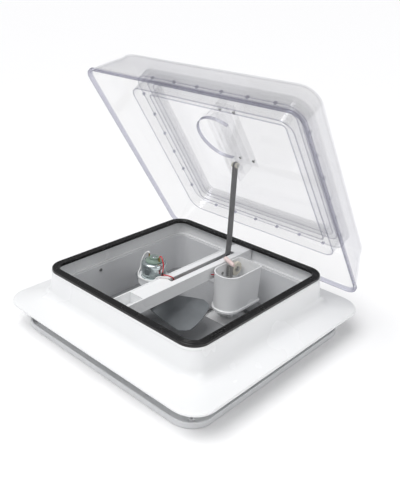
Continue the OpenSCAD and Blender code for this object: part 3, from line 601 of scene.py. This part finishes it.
fan_low, fan_high = corners("fan")
fan_z = (fan_low.z + fan_high.z) / 2
hub_r = 16
hub_half = 9
fan_r = 106
sheet_half = 0.8
root_pitch = 22
tip_pitch = 15
camber_h = 5
# the outer corners are rounded off from this share of the half width, by this much
round_from = 0.72
round_cut = 14.4
blade_count = 3
blade_turn = 10
root_half = 15
tip_half = 43


def paddle(turn):
    """One cambered blade as a thin closed sheet, pitched about its own radius."""
    across = 16
    along = 12
    sides = []
    for side in (sheet_half, -sheet_half):
        for i in range(along + 1):
            for j in range(across + 1):
                v = -1 + 2 * j / across
                past = max(0, abs(v) - round_from) / (1 - round_from)
                tip = fan_r - 0.6 - round_cut * past ** 2
                u = i / along
                r = hub_r - 3 + (tip - hub_r + 3) * u
                half = root_half + (tip_half - root_half) * u ** 0.7
                y = half * v
                x = math.sqrt(max(r * r - (y * 0.9) ** 2, 60))
                camber = camber_h * (1 - v * v) * u * (1.2 - u)
                pitch = math.radians(root_pitch - (root_pitch - tip_pitch) * u)
                sides.append(Vector((x, y * math.cos(pitch), y * math.sin(pitch) + camber + side)))
    grid = (along + 1) * (across + 1)
    faces = []
    for i in range(along):
        for j in range(across):
            a = i * (across + 1) + j
            quad = (a, a + 1, a + across + 2, a + across + 1)
            faces.append(quad)
            faces.append(tuple(grid + k for k in reversed(quad)))
    rim = [j for j in range(across + 1)]
    rim += [i * (across + 1) + across for i in range(1, along + 1)]
    rim += [along * (across + 1) + j for j in range(across - 1, -1, -1)]
    rim += [i * (across + 1) for i in range(along - 1, 0, -1)]
    for k, a in enumerate(rim):
        b = rim[(k + 1) % len(rim)]
        faces.append((a, b, b + grid, a + grid))
    return turned((sides, faces), Matrix.Translation((motor.x, motor.y, fan_z))
                  @ Matrix.Rotation(turn, 4, "Z"))


hub = lathe([(hub_r - 3, fan_z - hub_half), (hub_r, fan_z - hub_half), (hub_r, fan_z + hub_half - 1.4),
             (hub_r - 1.4, fan_z + hub_half), (2.2, fan_z + hub_half)], (motor.x, motor.y), 40)
hub_ribs = []
for k in range(6):
    web = block((3, -0.6, fan_z - hub_half + 1), (hub_r - 1, 0.6, fan_z - 2))
    hub_ribs.append(turned(web, Matrix.Translation((motor.x, motor.y, 0))
                           @ Matrix.Rotation(math.pi * k / 3, 4, "Z")))
blades = [paddle(math.radians(360 * k / blade_count + blade_turn)) for k in range(blade_count)]
piece("fan_wheel", [hub, *hub_ribs, *blades], "fan", [smoke], ["fan"], 0)

# ---- Operator housing ---------------------------------------------------------------------------
# A deep cup beside the crossbar hides worm and gear: a round-nosed tub with a foot ring and drafted
# walls, open at the top, screwed to the crossbar from inside.
cup_low, cup_high = corners("operator_housing")
cup_x = (cup_low.x + cup_high.x) / 2
cup_half = (cup_high.x - cup_low.x) / 2


def nose_ring(inset, z, steps=20):
    """Outline of the tub at a height: a half round nose to the front and a square back."""
    radius = cup_half - inset
    nose_y = cup_low.y + cup_half
    ring = [Vector((cup_x + radius * math.cos(a), nose_y - radius * math.sin(a), z))
            for a in (math.pi * k / steps for k in range(steps + 1))]
    rear = cup_high.y - inset
    cut = 5
    for k in range(5):
        a = math.pi / 2 * k / 4
        ring.append(Vector((cup_x - radius + cut * (1 - math.cos(a)), rear - cut * (1 - math.sin(a)), z)))
    for k in range(5):
        a = math.pi / 2 * k / 4
        ring.append(Vector((cup_x + radius - cut * (1 - math.sin(a)), rear - cut * (1 - math.cos(a)), z)))
    return ring


cup_wall = 2.2
cup_profile = [(0, cup_low.z), (0, cup_low.z + 3.6), (0.5, cup_low.z + 4.2), (2.4, cup_low.z + 4.6),
               (2.6, cup_low.z + 6), (1.2, cup_high.z - 4), (0.6, cup_high.z - 0.6), (0.9, cup_high.z),
               (cup_wall + 0.6, cup_high.z), (cup_wall + 2.6, cup_low.z + 6),
               (cup_wall + 5, cup_low.z + 2.5)]
tub = loft([nose_ring(inset, z) for inset, z in cup_profile], capped=True)
worm_low, worm_high = corners("worm")
worm_x = (worm_low.x + worm_high.x) / 2
worm_y = (worm_low.y + worm_high.y) / 2
switch_low, switch_high = corners("switch_body")
cup_cuts = [lathe([(5.6, cup_low.z - 2), (5.6, cup_low.z + 8)], (worm_x, worm_y)),
            block((switch_low.x + 2, switch_low.y + 2, cup_low.z - 2),
                  (switch_high.x - 2, switch_high.y - 2, cup_low.z + 4))]
piece("operator_tub", [tub], "base", [white_abs], ["operator_housing"], 0.3, cup_cuts)

# Natural nylon: ivory and slightly waxy, with the fine haze of a machined or moulded bearing.
nylon = moulded_abs("moulded_natural_nylon", ("#dcd8cc", "#cfcabb"), (0.4, 0.5), 0.2)
refinish("crank_bushing", nylon, 0.2)
refinish("arm_gear", nylon, 0.1)
refinish("arm_rollers", nylon, 0.3)
for node in ("worm", "crank_shaft", "knob_screw", "gear_shaft", "gear_clip", "arm_pin",
             "housing_screws", "hinge_pins", "hinge_clips", "track_screws"):
    refinish(node, steel, 0)
refinish("crank_knob", white_abs, 1.0)

# ---- Lift arm -----------------------------------------------------------------------------------
# A strap of pressed steel that the gear swings up out of the slot to raise the lid, with a pin and
# two nylon rollers at its tip.
# Mid-grey powder coat: a soft, slightly pebbled film with rubbed patches near the pin.
powder, tree = new_material("grey_powder_coat")
place = add(tree, "ShaderNodeTexCoord").outputs["Object"]
rubbed = add(tree, "ShaderNodeTexNoise", {"Vector": place, "Scale": 45.0, "Detail": 5.0})
film = add(tree, "ShaderNodeMix", {"Factor": rubbed.outputs["Fac"], 6: linear("#5a5a5b"),
                                   7: linear("#747475")}, data_type="RGBA")
pebble = add(tree, "ShaderNodeTexNoise", {"Vector": place, "Scale": 1 / 0.0008, "Detail": 1.0})
pebbles = add(tree, "ShaderNodeBump", {"Height": pebble.outputs["Fac"], "Strength": 0.3,
                                       "Distance": 0.0001})
coat = add(tree, "ShaderNodeBsdfPrincipled", {
    "Base Color": film.outputs[2], "Roughness": 0.42, "Normal": pebbles.outputs["Normal"]})
add(tree, "ShaderNodeOutputMaterial", {"Surface": coat.outputs[0]})
refinish("lift_arm", powder, 0.5)

# ---- Fan switch ---------------------------------------------------------------------------------
# A snap-in rocker switch in the floor of the tub, worked from below beside the knob.
# Matt black nylon with a spark-eroded grain.
black_nylon, tree = new_material("grained_black_nylon")
place = add(tree, "ShaderNodeTexCoord").outputs["Object"]
spark = add(tree, "ShaderNodeTexNoise", {"Vector": place, "Scale": 1 / 0.0006, "Detail": 3.0})
dark = add(tree, "ShaderNodeMix", {"Factor": spark.outputs["Fac"], 6: linear("#0c0c0d"),
                                   7: linear("#1d1d1f")}, data_type="RGBA")
eroded = add(tree, "ShaderNodeBump", {"Height": spark.outputs["Fac"], "Strength": 0.4,
                                      "Distance": 0.0001})
grained = add(tree, "ShaderNodeBsdfPrincipled", {
    "Base Color": dark.outputs[2], "Roughness": 0.5, "Normal": eroded.outputs["Normal"]})
add(tree, "ShaderNodeOutputMaterial", {"Surface": grained.outputs[0]})
refinish("switch_body", black_nylon, 0.4)
refinish("switch_rocker", black_nylon, 0.5)


# ---- Leads and connector ------------------------------------------------------------------------
# Two single-core leads run from the motor's tabs over the bar and down the arm's slot to the switch;
# a crimp cap joins the supply. Extruded PVC, a soft gloss that dulls where it was handled.
def pvc(name, dull, bright):
    material, tree = new_material(name)
    place = add(tree, "ShaderNodeTexCoord").outputs["Object"]
    handled = add(tree, "ShaderNodeTexNoise", {"Vector": place, "Scale": 80.0, "Detail": 2.0})
    colour = add(tree, "ShaderNodeMix", {"Factor": handled.outputs["Fac"], 6: linear(dull),
                                         7: linear(bright)}, data_type="RGBA")
    shine = add(tree, "ShaderNodeMapRange", {"Value": handled.outputs["Fac"], "To Min": 0.25,
                                             "To Max": 0.45})
    shader = add(tree, "ShaderNodeBsdfPrincipled", {
        "Base Color": colour.outputs[2], "Roughness": shine.outputs["Result"], "IOR": 1.53})
    add(tree, "ShaderNodeOutputMaterial", {"Surface": shader.outputs[0]})
    return material


for node, material, slot in (("lead_red", pvc("red_pvc", "#b3101c", "#d42230"), "red_pvc"),
                             ("lead_white", pvc("white_pvc", "#e2e2e0", "#f4f4f3"), "white_pvc"),
                             ("lead_sleeve", pvc("black_heat_shrink", "#0d0d0e", "#1b1b1c"),
                              "black_rubber"),
                             ("wire_connector", pvc("pale_pink_crimp_cap", "#e6c9c6", "#f2e2dd"),
                              "pink_nylon")):
    refinish(node, material, 0)

# ---- Lid ----------------------------------------------------------------------------------------
# A clear domed lid on two rear hinges: a vacuum-smooth dome with a thick rim, a ribbed inner frame
# welded under its crown that carries the sealing rib, and the slotted track that the arm's rollers
# push. All of it is injection-moulded polycarbonate.
lid_joint = next(j for j in frame["joints"] if j["name"] == "lid_hinge")
opening = (Matrix.Translation(Vector(lid_joint["pos_m"]) * 1000)
           @ Matrix.Rotation(-math.radians(lid_joint["range_deg"][0]), 4, Vector(lid_joint["axis"]))
           @ Matrix.Translation(-Vector(lid_joint["pos_m"]) * 1000))


# Clear polycarbonate: it barely dims what is behind it face-on, turns faintly violet and darker
# where it is seen edge-on, and mirrors the tent at a glancing angle.
def polycarbonate(name, face_on, edge_on, gloss):
    material, tree = new_material(name)
    place = add(tree, "ShaderNodeTexCoord").outputs["Object"]
    slant = add(tree, "ShaderNodeLayerWeight", {"Blend": 0.5}).outputs["Facing"]
    depth = add(tree, "ShaderNodeMath", {0: slant, 1: 2.5}, operation="POWER")
    tint = add(tree, "ShaderNodeMix", {"Factor": depth.outputs[0], 6: linear(face_on),
                                       7: linear(edge_on)}, data_type="RGBA")
    through = add(tree, "ShaderNodeBsdfTransparent", {"Color": tint.outputs[2]})
    wave = add(tree, "ShaderNodeTexNoise", {"Vector": place, "Scale": 14.0, "Detail": 1.0})
    ripple = add(tree, "ShaderNodeBump", {"Height": wave.outputs["Fac"], "Strength": 0.25,
                                          "Distance": 0.002})
    mirror = add(tree, "ShaderNodeBsdfGlossy", {"Color": linear("#fafafc"), "Roughness": gloss,
                                                "Normal": ripple.outputs["Normal"]})
    # polycarbonate mirrors one part in twenty-five face-on and about half at a grazing angle
    graze = add(tree, "ShaderNodeMath", {0: slant, 1: 5.0}, operation="POWER")
    share = add(tree, "ShaderNodeMath", {0: graze.outputs[0], 1: 0.5, 2: 0.04}, operation="MULTIPLY_ADD")
    clear = add(tree, "ShaderNodeMixShader", {"Fac": share.outputs[0], 1: through.outputs[0],
                                              2: mirror.outputs[0]})
    add(tree, "ShaderNodeOutputMaterial", {"Surface": clear.outputs[0]})
    return material


skin_pc = polycarbonate("polished_clear_polycarbonate", "#fcfcfc", "#f0f0f2", 0.05)
edge_pc = polycarbonate("clear_polycarbonate_edge", "#e4e4ea", "#8f8e9f", 0.1)

dome_low, dome_high = corners("lid_dome")
lid_half = (dome_high.x - dome_low.x) / 2
lid_back = 11
lid_y = hinge_y + lid_back - lid_half
lid_h = 80
lid_wall = 2.6
lean = 18
top_r = 18
# plan radius of the side wall at the rim, and what it gains by the shoulder
side_r = 24
side_gain = 10
shoulder = lid_h - top_r
rim_z = hinge_z


def lid_ring(half, radius, z):
    """A rounded square of the lid in its closed place."""
    return [p + Vector((0, lid_y, rim_z)) for p in square_ring(half, radius, z, 14)]


def leaned(t):
    """How far the side wall leans in at a share of its height."""
    return lean * (0.75 * t + 0.25 * t * t)


def side_corner(t):
    """Corner radius up the side wall."""
    return side_r + side_gain * t


outer = [(lid_half * 0.3, 12, lid_h), (lid_half * 0.62, 22, lid_h - 0.5)]
for step in range(8, -1, -1):
    a = math.pi / 2 * step / 8
    outer.append((lid_half - lean - top_r * (1 - math.cos(a)), side_corner(1) - 8 * (1 - math.cos(a)),
                  shoulder + (top_r - 1.5) * math.sin(a)))
for step in range(7, 0, -1):
    t = step / 8
    outer.append((lid_half - 0.8 - leaned(t), side_corner(t), shoulder * t))
rim = [(lid_half - 0.9, 24, 6.2), (lid_half - 0.1, 24.6, 5.4), (lid_half, 24.8, 4.6),
       (lid_half, 24.8, 0.6), (lid_half - 0.5, 24.4, 0), (lid_half - 3.4, 21.6, 0),
       (lid_half - 3.9, 21.2, 0.6)]
inner = [(lid_half - lid_wall - 0.8 - leaned(t), side_corner(t) - lid_wall, shoulder * t)
         for t in (step / 8 for step in range(1, 8))]
for step in range(0, 7):
    a = math.pi / 2 * step / 8
    inner.append((lid_half - lean - top_r + (top_r - lid_wall) * math.cos(a), 30,
                  shoulder + (top_r - 3) * math.sin(a)))
inner.append((lid_half - lean - top_r, 26, lid_h - 3))
sections = outer + rim + inner
dome_points, dome_faces = loft([lid_ring(*s) for s in sections], capped=True)
per_ring = len(lid_ring(*sections[0]))
rim_first = (len(outer) - 1) * per_ring
rim_last = (len(outer) + len(rim)) * per_ring
dome_skin = (dome_points, dome_faces[:rim_first] + dome_faces[rim_last:])
dome_rim = (dome_points, dome_faces[rim_first:rim_last])
knuckles = []
for side in (-hinge_x, hinge_x):
    lobe = filleted([(hinge_y - 5, hinge_z - 5, 4), (hinge_y + 5, hinge_z - 5.5, 3),
                     (hinge_y + lid_back - 1.4, hinge_z + 1, 1), (hinge_y + lid_back - 1.4, hinge_z + 7, 0),
                     (hinge_y, hinge_z + 6.5, 3), (hinge_y - 6.4, hinge_z + 3, 3)])
    knuckles.append(loft([[Vector((side + e, p.x, p.y)) for p in lobe] for e in (-12, 12)], capped=True))
piece("lid_dome_shell", [turned(dome_skin, opening), (*turned(dome_rim, opening), 1),
                         *[turned(k, opening) for k in knuckles]],
      "lid", [skin_pc, edge_pc], ["lid_dome"], 0)

frame_top = rim_z + lid_h - 3.1
plate_t = 2
under_plate = frame_top - plate_t
seal_half = collar_half - band / 2
seal_r = collar_r - band / 2
seal_gap = 0.3
inner_half = collar_half - 31.5


def rib(half, radius, z_low, z_high, thick):
    """A square rib hanging from the frame's plate; its lower edge is a face of its own."""
    edge = 0.8
    outline = [(half - thick / 2, z_high), (half + thick / 2, z_high), (half + thick / 2, z_low + edge),
               (half + thick / 2, z_low), (half - thick / 2, z_low), (half - thick / 2, z_low + edge)]
    points, faces = loft([square_ring(x, radius + x - half, z, 12) for x, z in outline])
    per_row = 4 * 13
    return [(points, faces[:2 * per_row] + faces[5 * per_row:]),
            (points, faces[2 * per_row:5 * per_row], 1)]


def ring_plate(outer_half, outer_radius, inner_half, inner_radius, z_low, z_high):
    """A flat square ring of plate."""
    outline = [(outer_half, outer_radius, z_low), (outer_half, outer_radius, z_high),
               (inner_half, inner_radius, z_high), (inner_half, inner_radius, z_low)]
    return loft([square_ring(x, r, z, 12) for x, r, z in outline])


frame_solids = [ring_plate(seal_half + 9, 33, inner_half - 1.2, 6.8, under_plate, frame_top)]
frame_solids += rib(seal_half, seal_r, crown + seal_gap, under_plate, 2.4)
frame_solids += rib(seal_half - 9, 16, frame_top - 14, under_plate, 1.6)
frame_solids += rib(inner_half, 8, hinge_z + 45, under_plate, 2.4)
frame_solids += rib(inner_half + 7, 12, frame_top - 12, under_plate, 1.4)
# the outer band stands off the side walls, with six weld pips along each side
frame_solids += rib(seal_half + 7.5, 31, frame_top - 20, under_plate, 1.6)
pips = 6
pip_pitch = 52
for quarter in range(4):
    for k in range(pips):
        along = (k - (pips - 1) / 2) * pip_pitch
        pip = block((seal_half + 5.6, along - 2.2, frame_top - 22),
                    (seal_half + 9, along + 2.2, frame_top - 17))
        frame_solids.append((*turned(pip, Matrix.Rotation(math.pi / 2 * quarter, 4, "Z")), 1))
boss_r = 4.5
for x in (-1, 1):
    for y in (-1, 1):
        frame_solids.append(lathe([(boss_r, frame_top - 22), (boss_r, under_plate)],
                                  (x * (inner_half - 6), y * (inner_half - 6)), 24))

# a low curved rib stands round the motor when the lid is shut
guard_r = 50
guard_t = 1.6
guard_h = 6
guard_points = []
for k in range(41):
    a = math.radians(75 + 235 * k / 40)
    spoke = Vector((math.cos(a), math.sin(a), 0))
    centre = Vector((motor.x, motor.y, 0))
    foot = frame_top - guard_h
    guard_points.append([centre + spoke * (guard_r + d) + Vector((0, 0, z))
                         for d, z in ((-guard_t / 2, foot), (guard_t / 2, foot),
                                      (guard_t / 2, frame_top), (-guard_t / 2, frame_top))])
frame_solids.append((*loft(guard_points, capped=True), 1))
piece("lid_frame_ribbed", [(*turned(s, opening), *s[2:]) for s in frame_solids], "lid",
      [skin_pc, edge_pc], ["lid_frame"], 0)

for node in ("slide_track", "track_stop"):
    refinish(node, skin_pc, 0.3)
